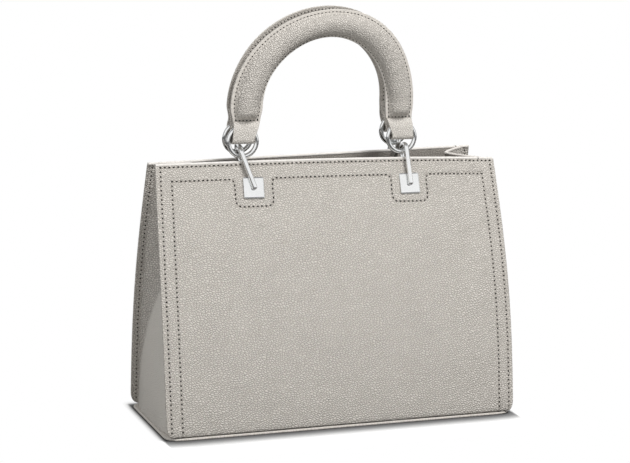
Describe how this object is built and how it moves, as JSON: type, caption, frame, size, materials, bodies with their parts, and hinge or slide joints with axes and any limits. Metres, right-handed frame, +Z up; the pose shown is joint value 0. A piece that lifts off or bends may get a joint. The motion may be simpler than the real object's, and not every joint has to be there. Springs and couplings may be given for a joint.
{
  "type": "top handle bag",
  "caption": "Structured top handle bag in light taupe grained leather, with folded side gussets and padded arch handles on polished metal rings and hooks.",
  "frame": {"origin": "middle of the base's underside, on the floor", "axes": "+X to the right as seen from the front, +Y to the back, +Z up"},
  "size_m": [0.2962, 0.1179, 0.3334],
  "materials": {
    "leather": "grained, satin",
    "edge_leather": "smooth, satin",
    "lining": "woven, matte",
    "board": "matte",
    "padding": "matte foam",
    "metal": "polished"
  },
  "bodies": {
    "body": {"front_panel": "leather", "front_board": "board", "front_lining": "lining", "front_facing": "leather", "front_top_strip": "edge_leather", "back_panel": "leather", "back_board": "board", "back_lining": "lining", "back_facing": "leather", "back_top_strip": "edge_leather", "left_gusset": "leather", "left_gusset_lining": "lining", "left_gusset_strip": "edge_leather", "right_gusset": "leather", "right_gusset_lining": "lining", "right_gusset_strip": "edge_leather", "base_panel": "leather", "base_board": "board", "base_lining": "lining", "front_left_plate": "metal", "front_right_plate": "metal", "back_left_plate": "metal", "back_right_plate": "metal", "front_left_washer": "metal", "front_right_washer": "metal", "back_left_washer": "metal", "back_right_washer": "metal", "snap_stud_half": "metal", "snap_socket_half": "metal"},
    "front_left_hook": {"front_left_hook": "metal"},
    "front_right_hook": {"front_right_hook": "metal"},
    "back_left_hook": {"back_left_hook": "metal"},
    "back_right_hook": {"back_right_hook": "metal"},
    "front_left_ring": {"front_left_ring": "metal"},
    "front_right_ring": {"front_right_ring": "metal"},
    "back_left_ring": {"back_left_ring": "metal"},
    "back_right_ring": {"back_right_ring": "metal"},
    "front_handle": {"front_handle_cover": "leather", "front_handle_core": "padding", "front_handle_strap": "leather", "front_left_tab": "leather", "front_right_tab": "leather"},
    "back_handle": {"back_handle_cover": "leather", "back_handle_core": "padding", "back_handle_strap": "leather", "back_left_tab": "leather", "back_right_tab": "leather"}
  },
  "joints": [
    {"name": "front_left_hook_swivel", "type": "hinge", "parent": "body", "child": "front_left_hook", "pos_m": [-0.06671, -0.01817, 0.18998], "axis": [0.0002, -0.9501, 0.3119], "range_deg": [-3, 0.8]},
    {"name": "front_right_hook_swivel", "type": "hinge", "parent": "body", "child": "front_right_hook", "pos_m": [0.06671, -0.01819, 0.18937], "axis": [0.0037, -0.9498, 0.3128], "range_deg": [-2, 3]},
    {"name": "back_left_hook_swivel", "type": "hinge", "parent": "body", "child": "back_left_hook", "pos_m": [-0.06671, 0.01966, 0.19071], "axis": [-0.0387, 0.9518, 0.3044], "range_deg": [-3, 3]},
    {"name": "back_right_hook_swivel", "type": "hinge", "parent": "body", "child": "back_right_hook", "pos_m": [0.06671, 0.03043, 0.19233], "axis": [-0.1402, 0.9589, 0.2468], "range_deg": [-3, 2]},
    {"name": "front_left_ring_swing", "type": "hinge", "parent": "body", "child": "front_left_ring", "pos_m": [-0.073, -0.00849, 0.21404], "axis": [1, 0.0025, 0.0032], "range_deg": [0, 95]},
    {"name": "front_right_ring_swing", "type": "hinge", "parent": "body", "child": "front_right_ring", "pos_m": [0.063, -0.00815, 0.21446], "axis": [1, 0.0025, 0.0032], "range_deg": [0, 95]},
    {"name": "front_handle_tilt", "type": "hinge", "parent": "front_left_ring", "child": "front_handle", "pos_m": [-0.00507, -0.00832, 0.23745], "axis": [1, 0.0025, 0.0032], "range_deg": [0, 2.2]},
    {"name": "back_left_ring_swing", "type": "hinge", "parent": "body", "child": "back_left_ring", "pos_m": [-0.0715, 0.00962, 0.21564], "axis": [-0.9957, -0.091, -0.0165], "range_deg": [0, 105]},
    {"name": "back_right_ring_swing", "type": "hinge", "parent": "body", "child": "back_right_ring", "pos_m": [0.0683, 0.02238, 0.21796], "axis": [-0.9957, -0.091, -0.0165], "range_deg": [0, 105]},
    {"name": "back_handle_tilt", "type": "hinge", "parent": "back_left_ring", "child": "back_handle", "pos_m": [-0.00172, 0.01315, 0.23983], "axis": [-0.9957, -0.091, -0.0165], "range_deg": [0, 2.2]}
  ],
  "couplings": [
    {"joint": "front_right_ring_swing", "follows": "front_left_ring_swing", "ratio": 1},
    {"joint": "back_right_ring_swing", "follows": "back_left_ring_swing", "ratio": 1}
  ]
}
